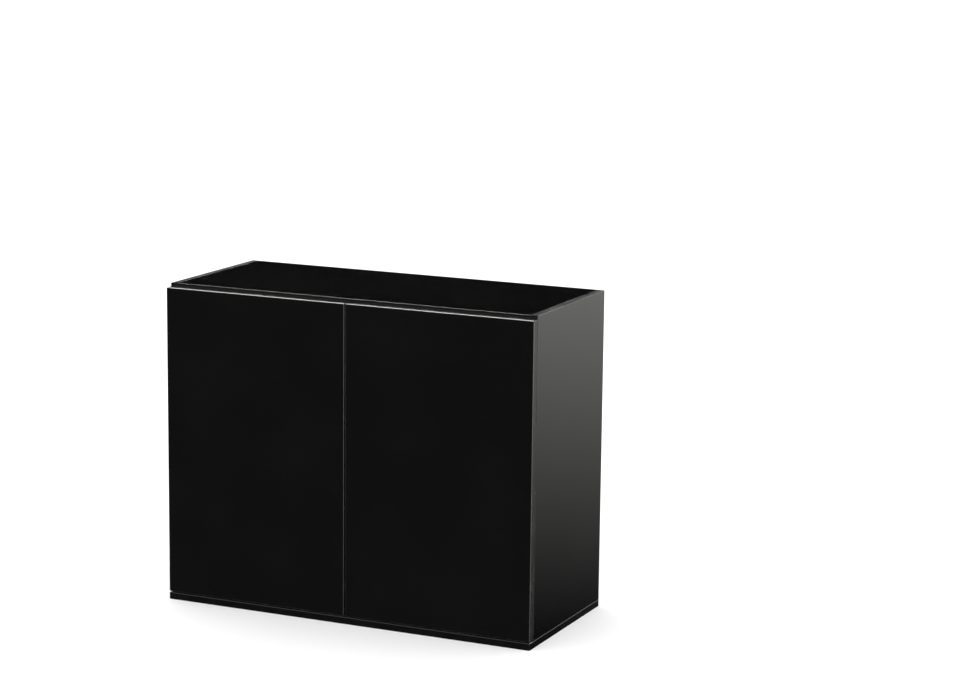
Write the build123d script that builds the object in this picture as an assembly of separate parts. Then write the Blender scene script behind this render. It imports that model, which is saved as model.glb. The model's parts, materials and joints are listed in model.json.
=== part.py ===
"""Aquarium stand cabinet: two full-overlay doors on concealed hinges, with push-to-open latches.

Frame: X to the right, Y to the back, Z up. The origin is the middle of the underside.
Every board, edge band, fastener and hinge piece is a solid of its own. Millimetres.
"""
import os
from math import atan2, degrees, hypot

from build123d import *

# --- overall size -----------------------------------------------------------------------------
WIDTH = 900.0                # over the side boards
DEPTH = 390.0                # from the doors' faces to the back
HEIGHT = 730.0               # floor to the top board's surface

# --- boards -----------------------------------------------------------------------------------
BOARD = 18.0                 # side, top, partition and shelf board
BASE_BOARD = 16.0            # base board under everything
RAIL_BOARD = 16.0            # rear rails
RAIL_HEIGHT = 90.0
SHELF_HEIGHT = 372.0         # floor to the shelf's upper face
SHELF_SIDE_GAP = 1.0         # play of a shelf at each end
SHELF_FRONT_SETBACK = 68.0   # keeps the shelf behind the hinges and latches
SHELF_REAR_SETBACK = 45.0    # room for hoses behind the shelf

# --- edge bands -------------------------------------------------------------------------------
BAND = 2.0                   # thick band on doors, base and side tops
THIN_BAND = 1.0              # band on inner front edges
BAND_ROUND = 1.6             # rounding of a thick band's outer edges
FINE_ROUND = 0.4             # rounding of a thin band's edges

# --- doors ------------------------------------------------------------------------------------
DOOR = 18.0                  # door board
DOOR_GAP = 2.0               # between a door's back and the carcass
DOOR_TOP_DROP = 8.0          # top board's surface above the doors' top edges
DOOR_BASE_GAP = 2.5          # between the base board and the doors
SEAM = 3.0                   # between the two doors

# --- knock-down joinery -----------------------------------------------------------------------
DOWEL_D = 8.0
DOWEL_LENGTH = 30.0
DOWEL_IN_SIDE = 12.0         # part of a dowel inside a side board
CAM_D = 15.0
CAM_PAST_BOLT = 4.0          # a cam reaches this far beyond its bolt's axis
CAM_FROM_JOINT = 34.0        # cam centre to the joint's face
BOLT_D = 7.0                 # cam bolt's plain stem
BOLT_THREAD_D = 5.0
BOLT_THREAD = 11.0           # threaded end, inside the other board
BOLT_GRIP = 4.0              # how far a bolt's head goes into its cam
CAP_D = 17.0
CAP_THICK = 1.0
SCREW_D = 5.0                # base screw's thread
SCREW_STEM_D = 7.0
SCREW_HEAD_D = 10.0
SCREW_HEAD = 4.0
SCREW_RECESS = 1.0
SCREW_LENGTH = 50.0
JOINT_END = 50.0             # first and last fastener from a board's front or back edge
DOWEL_OFFSET = 32.0          # a dowel stands this far inside an outer fastener
RAIL_DOWEL_SPACING = 50.0

# --- shelf pins -------------------------------------------------------------------------------
PIN_D = 5.0
PIN_WEB = 2.0                # wood left between two pins back to back in the partition
PIN_COLLAR_D = 9.0
PIN_COLLAR = 0.8
PIN_PEG_D = 6.0
PIN_PEG = 7.5
PIN_FLAT = 1.5               # the peg's flat above the pin's axis
PIN_PITCH = 32.0             # spare holes above and below
PIN_SPARES = 2
PIN_EDGE = 37.0              # pins from the shelf's front and rear edges

# --- concealed hinges: u runs inwards from the side's inner face, v outwards from the carcass -----
HINGE_END = 100.0            # hinge centre from a door's top or bottom edge
CUP_D = 35.0
CUP_DEPTH = 13.0
CUP_REACH = 14.5             # the cup's bore starts this far outside the side's inner face
CUP_WALL = 0.9
CUP_FLANGE = 1.0
CUP_RIM = 1.3                # flange beyond the bore
CUP_NOTCH = 11.8             # slot in the cup's rim, on the door's edge side
CUP_NOTCH_DEPTH = 7.0
CUP_NOTCH_END = 8.75         # slot's inner end from the cup's centre
CUP_EAR_R = 6.5
CUP_SCREW_SPACING = 48.0
CUP_SCREW_OFFSET = 6.0       # screws stand further in than the cup's centre
CUP_SCREW_D = 3.5
CUP_SCREW_HEAD_D = 7.0
CUP_SCREW_HEAD = 0.6
CUP_SCREW_LENGTH = 12.0
ARM_PIVOT = (6.92, 5.66)     # main link on the arm
CUP_PIVOT = (-8.17, 7.09)    # main link in the cup
SECOND_ARM_PIVOT = (18.93, -14.23)
SECOND_CUP_PIVOT = (-10.51, 2.95)
MAIN_BEND = -5.6             # sideways bow of the main link
SECOND_BEND = -7.0           # sideways bow of the second link
BOW_STEPS = 6
PIVOT_PIN_D = 2.5
PIVOT_PLAY = 0.05            # radial running clearance in a link's eye
OPEN_PIVOT_PLAY = 1.6        # clearance at the second link's cup end
LINK_HALF = 1.8              # half a main link's width
SECOND_HALF = 1.4            # half the second link's width
EYE_R = 2.4
MIDDLE_LAYER = 1.8           # half the second link's thickness
CHEEK_IN, CHEEK_OUT = 2.0, 3.0      # arm cheeks, from the hinge's middle plane
LUG_IN, LUG_OUT = 3.2, 4.0          # cup lugs
STRIP_IN, STRIP_OUT = 4.2, 5.4      # main link's two strips
LUG_R = 2.0
NOSE_R = 2.6                 # arm's cheeks round the pivots
ARM_HALF = 4.0
ARM_LINE = 12.0              # arm's rear centre line, from the side's inner face
ARM_KNEE = 26.0              # arm's bend behind the carcass front
ARM_BACK = 62.0              # arm's rear end behind the carcass front
ARM_WEB = 1.2
PLATE = 1.5                  # mounting plate's wings
PLATE_SPAN = 52.0
PLATE_WIDTH = 20.0
PLATE_ROUND = 5.0
PLATE_SETBACK = 42.0         # plate screws behind the carcass front
PLATE_BLOCK_LENGTH = 30.0
PLATE_SCREW_SPACING = 32.0
PLATE_SCREW_D = 4.0
PLATE_SCREW_HEAD_D = 7.5
PLATE_SCREW_HEAD = 1.0
PLATE_SCREW_LENGTH = 12.0
ARM_SCREW_D = 4.0
ARM_SCREW_HEAD_D = 7.0
ARM_SCREW_HEAD = 1.6
ARM_SCREW_LENGTH = 9.0

# --- push-to-open latches ---------------------------------------------------------------------
LATCH_DROP = 78.0            # latch axis below the top board
LATCH_WIDTH = 14.0
LATCH_HEIGHT = 20.0
LATCH_LENGTH = 62.0
LATCH_SETBACK = 3.0          # housing's nose behind the carcass front
PLUNGER_D = 8.0
PLUNGER_PLAY = 0.06
PLUNGER_LENGTH = 38.0
PLUNGER_STRIKE_GAP = 0.3
LATCH_WALL = 3.0             # behind the spring
MAGNET_D = 5.0
MAGNET_LENGTH = 3.0
SPRING_WIRE_D = 0.8
SPRING_D = 6.0
SPRING_TURNS = 8
STRIKE_WIDTH = 12.0
STRIKE_HEIGHT = 40.0
STRIKE = 1.0
STRIKE_SCREW_SPACING = 28.0
STRIKE_SCREW_D = 2.5
STRIKE_SCREW_HEAD_D = 5.0
STRIKE_SCREW_HEAD = 0.6
STRIKE_SCREW_LENGTH = 10.0
LATCH_SCREW_D = 3.0
LATCH_SCREW_HEAD_D = 6.0
LATCH_SCREW_HEAD = 1.5
LATCH_SCREW_LENGTH = 10.0
LATCH_EAR = 10.0             # screw ears above and below the housing
LATCH_EAR_THICK = 3.0
LATCH_ROUND = 2.0
SPRING_END_GAP = 0.3
BUMPER_D = 9.0
BUMPER = 1.5
BUMPER_INSET = 5.5           # bumper centre from a door's free edge
BUMPER_RISE = 30.0           # from a door's top or bottom edge

# --- places worked out from the sizes -----------------------------------------------------------
HALF = WIDTH / 2
FACE = -DEPTH / 2                        # doors' outer faces
BACK = DEPTH / 2
FRONT = FACE + DOOR + DOOR_GAP           # carcass front plane
INNER = HALF - BOARD                     # inner face of a side board
TOP_UNDER = HEIGHT - BOARD
DOOR_TOP = HEIGHT - DOOR_TOP_DROP
DOOR_BOTTOM = BASE_BOARD + DOOR_BASE_GAP
RAIL_FRONT = BACK - RAIL_BOARD
BAY_EDGE = BOARD / 2                     # partition's face
SHELF_FRONT = FRONT + SHELF_FRONT_SETBACK
SHELF_BACK = BACK - SHELF_REAR_SETBACK
SHELF_UNDER = SHELF_HEIGHT - BOARD
FASTENER_Y = (FRONT + JOINT_END, (FRONT + BACK) / 2, BACK - JOINT_END)
DOWEL_Y = (FASTENER_Y[0] + DOWEL_OFFSET, FASTENER_Y[2] - DOWEL_OFFSET)
TOP_MID = HEIGHT - BOARD / 2
RAIL_MID = BACK - RAIL_BOARD / 2
RAIL_LEVELS = {"top": TOP_UNDER - RAIL_HEIGHT, "bottom": BASE_BOARD}
HINGE_LEVELS = (DOOR_BOTTOM + HINGE_END, DOOR_TOP - HINGE_END)
STEM = CAM_FROM_JOINT - CAM_D / 2 + BOLT_GRIP
LATCH_Z = TOP_UNDER - LATCH_DROP
LATCH_X = BAY_EDGE + LATCH_WIDTH / 2
CUP_CENTRE = CUP_D / 2 - CUP_REACH
PIN_DEPTH = (BOARD - PIN_WEB) / 2
PIN_Z = SHELF_UNDER - PIN_FLAT
BOARD_CAM = BOARD / 2 + CAM_PAST_BOLT    # cam's depth in a thick board
RAIL_CAM = RAIL_BOARD / 2 + CAM_PAST_BOLT
NEAR = 1e-3                              # how close an edge lies to the place it is picked by


def span_box(x, y, z):
    """A box between two limits on each axis."""
    size = [b - a for a, b in (x, y, z)]
    centre = [(a + b) / 2 for a, b in (x, y, z)]
    return Pos(*centre) * Box(*size)


def rod(start, axis, diameter, length):
    """A round bar from a point along a named axis; a negative length runs backwards."""
    turn = {"x": Rot(0, 90, 0), "y": Rot(-90, 0, 0), "z": Rot(0, 0, 0)}[axis]
    shift = {"x": (length / 2, 0, 0), "y": (0, length / 2, 0), "z": (0, 0, length / 2)}[axis]
    centre = [s + d for s, d in zip(start, shift)]
    return Pos(*centre) * turn * Cylinder(diameter / 2, abs(length))


def group(pieces):
    """Separate solids that share one node."""
    return Compound([solid for piece in pieces for solid in piece.solids()])


def cut(body, tools):
    """A body with every tool taken out of it."""
    for tool in tools:
        body = body - tool
    return body


def round_edges(solid, radius, axis, at):
    """Round the edges along an axis that lie at a given corner, named as (axis, value) pairs."""
    edges = solid.edges().filter_by(axis)
    for coordinate, value in at:
        edges = [e for e in edges if abs(getattr(e.center(), coordinate) - value) < NEAR]
    return fillet(edges, radius)


def flip(shape):
    """The same piece on the right-hand side."""
    return mirror(shape, about=Plane.YZ)


def both(pieces):
    """Pieces of the left side with their mirror images."""
    return list(pieces) + [flip(piece) for piece in pieces]


# --- fasteners: one list per kind, also used to bore the boards -----------------------------------
def base_screw(x, y):
    """A countersunk screw driven up through the base board."""
    z0 = SCREW_RECESS
    head = rod((x, y, z0), "z", SCREW_HEAD_D, SCREW_HEAD)
    stem = rod((x, y, z0), "z", SCREW_STEM_D, BASE_BOARD - z0)
    thread = rod((x, y, z0), "z", SCREW_D, SCREW_LENGTH)
    return head + stem + thread


def cam_bolt(face, axis, sign):
    """A bolt whose thread sits in one board and whose stem reaches the cam in the other."""
    return rod(face, axis, BOLT_D, sign * STEM) + rod(face, axis, BOLT_THREAD_D, -sign * BOLT_THREAD)


def top_cam_places():
    """Cam centres under the top board, at the left side."""
    return [(-INNER + CAM_FROM_JOINT, y) for y in FASTENER_Y]


SCREWS = [base_screw(x, y) for x in (-HALF + BOARD / 2, 0, HALF - BOARD / 2) for y in FASTENER_Y]

SIDE_DOWELS = both([rod((-INNER - DOWEL_IN_SIDE, y, TOP_MID), "x", DOWEL_D, DOWEL_LENGTH)
                    for y in DOWEL_Y])
PARTITION_DOWELS = [rod((0, y, TOP_UNDER - (DOWEL_LENGTH - DOWEL_IN_SIDE)), "z", DOWEL_D, DOWEL_LENGTH)
                    for y in DOWEL_Y]
RAIL_DOWEL_Z = [low + RAIL_HEIGHT / 2 + s * RAIL_DOWEL_SPACING / 2
                for low in RAIL_LEVELS.values() for s in (-1, 1)]
RAIL_DOWELS = both([rod((-INNER - DOWEL_IN_SIDE, RAIL_MID, z), "x", DOWEL_D, DOWEL_LENGTH)
                    for z in RAIL_DOWEL_Z])
THROUGH_REACH = BAY_EDGE + DOWEL_LENGTH - DOWEL_IN_SIDE
THROUGH_DOWELS = [rod((-THROUGH_REACH, RAIL_MID, z), "x", DOWEL_D, 2 * THROUGH_REACH)
                  for z in RAIL_DOWEL_Z]
DOWELS = SIDE_DOWELS + PARTITION_DOWELS + RAIL_DOWELS + THROUGH_DOWELS

TOP_CAMS = both([rod((x, y, TOP_UNDER), "z", CAM_D, BOARD_CAM) for x, y in top_cam_places()])
TOP_BOLTS = both([cam_bolt((-INNER, y, TOP_MID), "x", 1) for y in FASTENER_Y])
PARTITION_CAM_Z = TOP_UNDER - CAM_FROM_JOINT
PARTITION_CAMS = [rod((BAY_EDGE, y, PARTITION_CAM_Z), "x", CAM_D, -BOARD_CAM) for y in FASTENER_Y]
PARTITION_BOLTS = [cam_bolt((0, y, TOP_UNDER), "z", -1) for y in FASTENER_Y]
RAIL_CAM_Z = [low + RAIL_HEIGHT / 2 for low in RAIL_LEVELS.values()]
RAIL_CAM_X = (-INNER + CAM_FROM_JOINT, -BAY_EDGE - CAM_FROM_JOINT)
RAIL_CAMS = both([rod((x, BACK, z), "y", CAM_D, -RAIL_CAM) for x in RAIL_CAM_X for z in RAIL_CAM_Z])
RAIL_BOLTS = both([cam_bolt((-INNER, RAIL_MID, z), "x", 1) for z in RAIL_CAM_Z])
DOUBLE_REACH = BAY_EDGE + STEM
DOUBLE_BOLTS = [rod((-DOUBLE_REACH, RAIL_MID, z), "x", BOLT_D, 2 * DOUBLE_REACH) for z in RAIL_CAM_Z]
CAMS = TOP_CAMS + PARTITION_CAMS + RAIL_CAMS
BOLTS = TOP_BOLTS + PARTITION_BOLTS + RAIL_BOLTS + DOUBLE_BOLTS

CAPS = both([rod((x, y, TOP_UNDER), "z", CAP_D, -CAP_THICK) for x, y in top_cam_places()])
CAPS += [rod((BAY_EDGE, y, PARTITION_CAM_Z), "x", CAP_D, CAP_THICK) for y in FASTENER_Y]
BORES = SCREWS + DOWELS + CAMS + BOLTS


def reaches(tool, body):
    """Whether two boxes round the shapes meet, so that a cut is worth making."""
    a, b = tool.bounding_box(), body.bounding_box()
    return all(getattr(a.min, c) < getattr(b.max, c) and getattr(b.min, c) < getattr(a.max, c)
               for c in "XYZ")


def bored(board, extra=()):
    """A board with the holes of every fastener that passes through it."""
    return cut(board, [tool for tool in list(BORES) + list(extra) if reaches(tool, board)])


# --- shelf pins and their holes -----------------------------------------------------------------
def shelf_pin(y):
    """A pin in the left side board: shank, collar and a peg cut flat where the shelf lies."""
    shank = rod((-INNER, y, PIN_Z), "x", PIN_D, -PIN_DEPTH)
    collar = rod((-INNER, y, PIN_Z), "x", PIN_COLLAR_D, PIN_COLLAR)
    peg = rod((-INNER, y, PIN_Z), "x", PIN_PEG_D, PIN_PEG)
    above = span_box((-INNER, -INNER + PIN_PEG), (y - PIN_COLLAR_D, y + PIN_COLLAR_D),
                     (SHELF_UNDER, SHELF_UNDER + PIN_COLLAR_D))
    return shank + ((collar + peg) - above)


def across_bay(piece):
    """A piece at the left end of the left bay, turned about to its right end."""
    middle = -(INNER + BAY_EDGE) / 2
    return mirror(piece, about=Plane.YZ.offset(middle))


PIN_Y = (SHELF_FRONT + PIN_EDGE, SHELF_BACK - PIN_EDGE)
LEFT_PINS = [shelf_pin(y) for y in PIN_Y]
PINS = both(LEFT_PINS + [across_bay(pin) for pin in LEFT_PINS])
SPARE_Z = [PIN_Z + n * PIN_PITCH for n in range(-PIN_SPARES, PIN_SPARES + 1)]
LEFT_HOLES = [rod((-INNER, y, z), "x", PIN_D, -PIN_DEPTH) for y in PIN_Y for z in SPARE_Z]
PIN_HOLES = both(LEFT_HOLES + [across_bay(hole) for hole in LEFT_HOLES])


# --- hinges, drawn for the left door ------------------------------------------------------------
def at(pivot, z):
    """The place of a hinge point given as (u, v)."""
    return (-INNER + pivot[0], FRONT - pivot[1], z)


def bar(p, q, half, low, high, z):
    """A flat bar with round ends between two hinge points, between two layers."""
    x0, y0, _ = at(p, z)
    x1, y1, _ = at(q, z)
    height = high - low
    middle = z + (low + high) / 2
    length = hypot(x1 - x0, y1 - y0)
    slab = Pos((x0 + x1) / 2, (y0 + y1) / 2, middle) * Rot(0, 0, degrees(atan2(y1 - y0, x1 - x0)))
    ends = [Pos(x, y, middle) * Cylinder(half, height) for x, y in ((x0, y0), (x1, y1))]
    return slab * Box(length, 2 * half, height) + ends[0] + ends[1]


def bent(p, q, bend, half, low, high, z):
    """A bar with a bow to one side: short straight bars along a parabola between two points."""
    length = hypot(q[0] - p[0], q[1] - p[1])
    normal = (-(q[1] - p[1]) / length, (q[0] - p[0]) / length)
    points = []
    for n in range(BOW_STEPS + 1):
        t = n / BOW_STEPS
        off = 4 * bend * t * (1 - t)
        points.append(tuple(p[i] + t * (q[i] - p[i]) + off * normal[i] for i in (0, 1)))
    link = bar(points[0], points[1], half, low, high, z)
    for a, b in zip(points[1:], points[2:]):
        link += bar(a, b, half, low, high, z)
    return link


def pivot_rod(pivot, diameter, low, high, z):
    """A round pin at a hinge point between two layers."""
    x, y, _ = at(pivot, z)
    return rod((x, y, z + low), "z", diameter, high - low)


def layers(low, high):
    """The two layers that lie alike above and below a hinge's middle plane."""
    return ((low, high), (-high, -low))


def main_links(z):
    """The two strips that carry the door, one each side of the hinge."""
    hole_d = PIVOT_PIN_D + 2 * PIVOT_PLAY
    strips = []
    for low, high in layers(STRIP_IN, STRIP_OUT):
        strip = bent(ARM_PIVOT, CUP_PIVOT, MAIN_BEND, LINK_HALF, low, high, z)
        strip += pivot_rod(ARM_PIVOT, 2 * EYE_R, low, high, z)
        strip += pivot_rod(CUP_PIVOT, 2 * EYE_R, low, high, z)
        holes = [pivot_rod(p, hole_d, low, high, z) for p in (ARM_PIVOT, CUP_PIVOT)]
        strips.append(cut(strip, holes))
    return strips


def second_link(z):
    """The middle link; its cup end stops short of its pin."""
    low, high = -MIDDLE_LAYER, MIDDLE_LAYER
    link = bent(SECOND_ARM_PIVOT, SECOND_CUP_PIVOT, SECOND_BEND, SECOND_HALF, low, high, z)
    link += pivot_rod(SECOND_ARM_PIVOT, 2 * EYE_R, low, high, z)
    hole = pivot_rod(SECOND_ARM_PIVOT, PIVOT_PIN_D + 2 * PIVOT_PLAY, low, high, z)
    end = pivot_rod(SECOND_CUP_PIVOT, PIVOT_PIN_D + 2 * OPEN_PIVOT_PLAY, low, high, z)
    return cut(link, [hole, end]).solids().sort_by(SortBy.VOLUME)[-1]


def hinge_arm(z):
    """The arm: two cheeks that hold the pivots, joined by a web over the mounting plate."""
    knee, rear = (ARM_LINE, -ARM_KNEE), (ARM_LINE, -ARM_BACK + ARM_HALF)
    top = ARM_LINE + ARM_HALF
    arm = span_box((-INNER + top - ARM_WEB, -INNER + top),
                   (FRONT + ARM_KNEE, FRONT + ARM_BACK - ARM_HALF), (z - CHEEK_OUT, z + CHEEK_OUT))
    for low, high in layers(CHEEK_IN, CHEEK_OUT):
        arm += bar(ARM_PIVOT, SECOND_ARM_PIVOT, NOSE_R, low, high, z)
        arm += bar(SECOND_ARM_PIVOT, knee, NOSE_R, low, high, z)
        arm += bar(knee, rear, ARM_HALF, low, high, z)
    pins = [pivot_rod(ARM_PIVOT, PIVOT_PIN_D, CHEEK_IN, CHEEK_OUT, z),
            pivot_rod(ARM_PIVOT, PIVOT_PIN_D, -CHEEK_OUT, -CHEEK_IN, z),
            pivot_rod(SECOND_ARM_PIVOT, PIVOT_PIN_D, -CHEEK_OUT, CHEEK_OUT, z)]
    return cut(arm, pins + [arm_screw(z)])


def arm_pins(z):
    """Rivets of the main link's strips and the pin of the second link, all held by the arm."""
    rivets = [pivot_rod(ARM_PIVOT, PIVOT_PIN_D, low, high, z) for low, high in layers(CHEEK_IN, STRIP_OUT)]
    return rivets + [pivot_rod(SECOND_ARM_PIVOT, PIVOT_PIN_D, -CHEEK_OUT, CHEEK_OUT, z)]


def cup_pins(z):
    """Rivets of the strips and the second link's pin, all held by the cup's lugs."""
    rivets = [pivot_rod(CUP_PIVOT, PIVOT_PIN_D, low, high, z) for low, high in layers(LUG_IN, STRIP_OUT)]
    return rivets + [pivot_rod(SECOND_CUP_PIVOT, PIVOT_PIN_D, -LUG_OUT, LUG_OUT, z)]


def cup_bore(z):
    """The blind bore in the door's back that takes a cup."""
    x, y, _ = at((CUP_CENTRE, DOOR_GAP), z)
    return rod((x, y, z), "y", CUP_D, -CUP_DEPTH)


def cup_screws(z):
    """Two flat-headed screws that hold a cup's flange."""
    x, y, _ = at((CUP_CENTRE + CUP_SCREW_OFFSET, DOOR_GAP - CUP_FLANGE), z)
    screws = []
    for side in (-1, 1):
        place = (x, y, z + side * CUP_SCREW_SPACING / 2)
        screws.append(rod(place, "y", CUP_SCREW_HEAD_D, -CUP_SCREW_HEAD)
                      + rod(place, "y", CUP_SCREW_D, -CUP_SCREW_LENGTH))
    return screws


def hinge_cup(z):
    """A pressed cup with its flange, a slot in the rim for the links and two lugs for the pins."""
    x, y, _ = at((CUP_CENTRE, DOOR_GAP), z)
    y_flange = y + CUP_FLANGE
    cup = rod((x, y, z), "y", CUP_D, -CUP_DEPTH) + rod((x, y, z), "y", CUP_D + 2 * CUP_RIM, CUP_FLANGE)
    ear = (x + CUP_SCREW_OFFSET, y, z)
    for side in (-1, 1):
        cup += rod((ear[0], y, z + side * CUP_SCREW_SPACING / 2), "y", 2 * CUP_EAR_R, CUP_FLANGE)
    cup += span_box((ear[0] - CUP_EAR_R, ear[0] + CUP_EAR_R), (y, y_flange),
                    (z - CUP_SCREW_SPACING / 2, z + CUP_SCREW_SPACING / 2))
    cup -= rod((x, y_flange, z), "y", CUP_D - 2 * CUP_WALL, -(CUP_DEPTH - CUP_WALL + CUP_FLANGE))
    rim = x - CUP_D / 2 - CUP_RIM
    cup -= span_box((rim, x - CUP_NOTCH_END), (y - CUP_NOTCH_DEPTH, y_flange),
                    (z - CUP_NOTCH / 2, z + CUP_NOTCH / 2))
    floor = (CUP_PIVOT[0], DOOR_GAP + CUP_DEPTH - CUP_WALL)
    below = span_box((x - CUP_D, x + CUP_D), (y - CUP_DEPTH - LUG_R, y - CUP_DEPTH), (z - CUP_D, z + CUP_D))
    for low, high in layers(LUG_IN, LUG_OUT):
        lug = bar(CUP_PIVOT, SECOND_CUP_PIVOT, LUG_R, low, high, z)
        lug += bar(CUP_PIVOT, floor, LUG_R, low, high, z)
        cup += lug - below
    return cut(cup, cup_pins(z) + cup_screws(z))


def plate_screws(z):
    """Two screws that hold a mounting plate to the side board."""
    x, y, _ = at((PLATE, -PLATE_SETBACK), z)
    screws = []
    for side in (-1, 1):
        place = (x, y, z + side * PLATE_SCREW_SPACING / 2)
        screws.append(rod(place, "x", PLATE_SCREW_HEAD_D, -PLATE_SCREW_HEAD)
                      + rod(place, "x", PLATE_SCREW_D, -PLATE_SCREW_LENGTH))
    return screws


def arm_screw(z):
    """The screw that clamps an arm to its mounting plate."""
    x, y, _ = at((ARM_LINE + ARM_HALF, -PLATE_SETBACK), z)
    head = rod((x, y, z), "x", ARM_SCREW_HEAD_D, ARM_SCREW_HEAD)
    return head + rod((x, y, z), "x", ARM_SCREW_D, -ARM_SCREW_LENGTH)


def mounting_plate(z):
    """A winged plate on the side board with a block that carries the arm."""
    x, y, _ = at((0, -PLATE_SETBACK), z)
    wings = span_box((x, x + PLATE), (y - PLATE_WIDTH / 2, y + PLATE_WIDTH / 2),
                     (z - PLATE_SPAN / 2, z + PLATE_SPAN / 2))
    wings = fillet(wings.edges().filter_by(Axis.X), PLATE_ROUND)
    block = span_box((x, x + ARM_LINE + ARM_HALF - ARM_WEB),
                     (y - PLATE_BLOCK_LENGTH / 2, y + PLATE_BLOCK_LENGTH / 2),
                     (z - CHEEK_IN, z + CHEEK_IN))
    return cut(wings + block, plate_screws(z) + [arm_screw(z)])


def per_hinge(maker):
    """A hinge piece, or a list of them, made at every hinge of the left door."""
    made = [maker(z) for z in HINGE_LEVELS]
    return [piece for item in made for piece in (item if isinstance(item, list) else [item])]


LEFT_PLATE_SCREWS = per_hinge(plate_screws)
LEFT_CUP_SCREWS = per_hinge(cup_screws)


# --- latches, drawn for the left door -----------------------------------------------------------
STRIKE_FACE = FRONT - DOOR_GAP + STRIKE
PLUNGER_TIP = STRIKE_FACE + PLUNGER_STRIKE_GAP
PLUNGER_END = PLUNGER_TIP + PLUNGER_LENGTH
LATCH_NOSE = FRONT + LATCH_SETBACK
LATCH_TAIL = LATCH_NOSE + LATCH_LENGTH
BORE_END = LATCH_TAIL - LATCH_WALL


def latch_screws():
    """Screws through a latch's ears into the partition."""
    x = -BAY_EDGE - LATCH_EAR_THICK
    y = (LATCH_NOSE + LATCH_TAIL) / 2
    screws = []
    for side in (-1, 1):
        place = (x, y, LATCH_Z + side * (LATCH_HEIGHT + LATCH_EAR) / 2)
        screws.append(rod(place, "x", LATCH_SCREW_HEAD_D, LATCH_SCREW_HEAD)
                      + rod(place, "x", LATCH_SCREW_D, LATCH_SCREW_LENGTH))
    return screws


def latch_housing():
    """A block on the partition with a blind bore for the plunger and a screw ear each way."""
    y_mid = (LATCH_NOSE + LATCH_TAIL) / 2
    body = span_box((-BAY_EDGE - LATCH_WIDTH, -BAY_EDGE), (LATCH_NOSE, LATCH_TAIL),
                    (LATCH_Z - LATCH_HEIGHT / 2, LATCH_Z + LATCH_HEIGHT / 2))
    body = fillet(body.edges().filter_by(Axis.Y).group_by(Axis.X)[0], LATCH_ROUND)
    reach = LATCH_HEIGHT / 2 + LATCH_EAR
    ears = span_box((-BAY_EDGE - LATCH_EAR_THICK, -BAY_EDGE), (y_mid - LATCH_EAR, y_mid + LATCH_EAR),
                    (LATCH_Z - reach, LATCH_Z + reach))
    bore = rod((-LATCH_X, LATCH_NOSE, LATCH_Z), "y", PLUNGER_D + 2 * PLUNGER_PLAY, BORE_END - LATCH_NOSE)
    return cut(body + ears, [bore] + latch_screws())


def latch_magnet():
    """The magnet in the plunger's tip."""
    return rod((-LATCH_X, PLUNGER_TIP, LATCH_Z), "y", MAGNET_D, MAGNET_LENGTH)


def latch_plunger():
    """The pushed bar, with a pocket for the magnet."""
    return rod((-LATCH_X, PLUNGER_TIP, LATCH_Z), "y", PLUNGER_D, PLUNGER_LENGTH) - latch_magnet()


def latch_spring():
    """A compression spring between the plunger and the end of the bore."""
    low, high = PLUNGER_END + SPRING_END_GAP, BORE_END - SPRING_END_GAP
    height = high - low - SPRING_WIRE_D
    coil_r = (SPRING_D - SPRING_WIRE_D) / 2
    path = Helix(pitch=height / SPRING_TURNS, height=height, radius=coil_r)
    section = Plane(origin=path @ 0, z_dir=path % 0) * Circle(SPRING_WIRE_D / 2)
    coil = sweep(section, path=path)
    return Pos(-LATCH_X, low + SPRING_WIRE_D / 2, LATCH_Z) * Rot(-90, 0, 0) * coil


def strike_screws():
    """Screws that hold a strike plate to the door's back."""
    screws = []
    for side in (-1, 1):
        place = (-LATCH_X, STRIKE_FACE, LATCH_Z + side * STRIKE_SCREW_SPACING / 2)
        screws.append(rod(place, "y", STRIKE_SCREW_HEAD_D, -STRIKE_SCREW_HEAD)
                      + rod(place, "y", STRIKE_SCREW_D, -STRIKE_SCREW_LENGTH))
    return screws


def strike_plate():
    """A steel plate on the door's back that the magnet holds."""
    plate = span_box((-LATCH_X - STRIKE_WIDTH / 2, -LATCH_X + STRIKE_WIDTH / 2),
                     (STRIKE_FACE - STRIKE, STRIKE_FACE),
                     (LATCH_Z - STRIKE_HEIGHT / 2, LATCH_Z + STRIKE_HEIGHT / 2))
    return cut(plate, strike_screws())


def bumpers():
    """Soft pads near the door's free corners."""
    x = -SEAM / 2 - BUMPER_INSET
    return [rod((x, FRONT - DOOR_GAP, z), "y", BUMPER_D, BUMPER)
            for z in (DOOR_BOTTOM + BUMPER_RISE, DOOR_TOP - BUMPER_RISE)]


# --- boards and their edge bands ----------------------------------------------------------------
def side_board():
    """The left side board, with its bores and shelf-pin holes."""
    board = span_box((-HALF, -INNER), (FRONT + THIN_BAND, BACK), (BASE_BOARD, HEIGHT - BAND))
    return bored(board, PIN_HOLES + LEFT_PLATE_SCREWS)


def side_bands():
    """Front band and rounded top band of the left side board."""
    front = span_box((-HALF, -INNER), (FRONT, FRONT + THIN_BAND), (BASE_BOARD, HEIGHT - BAND))
    front = round_edges(front, FINE_ROUND, Axis.Z, [("X", -HALF), ("Y", FRONT)])
    top = span_box((-HALF, -INNER), (FRONT, BACK), (HEIGHT - BAND, HEIGHT))
    top = round_edges(top, BAND_ROUND, Axis.Y, [("X", -HALF), ("Z", HEIGHT)])
    return [front, top]


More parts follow.
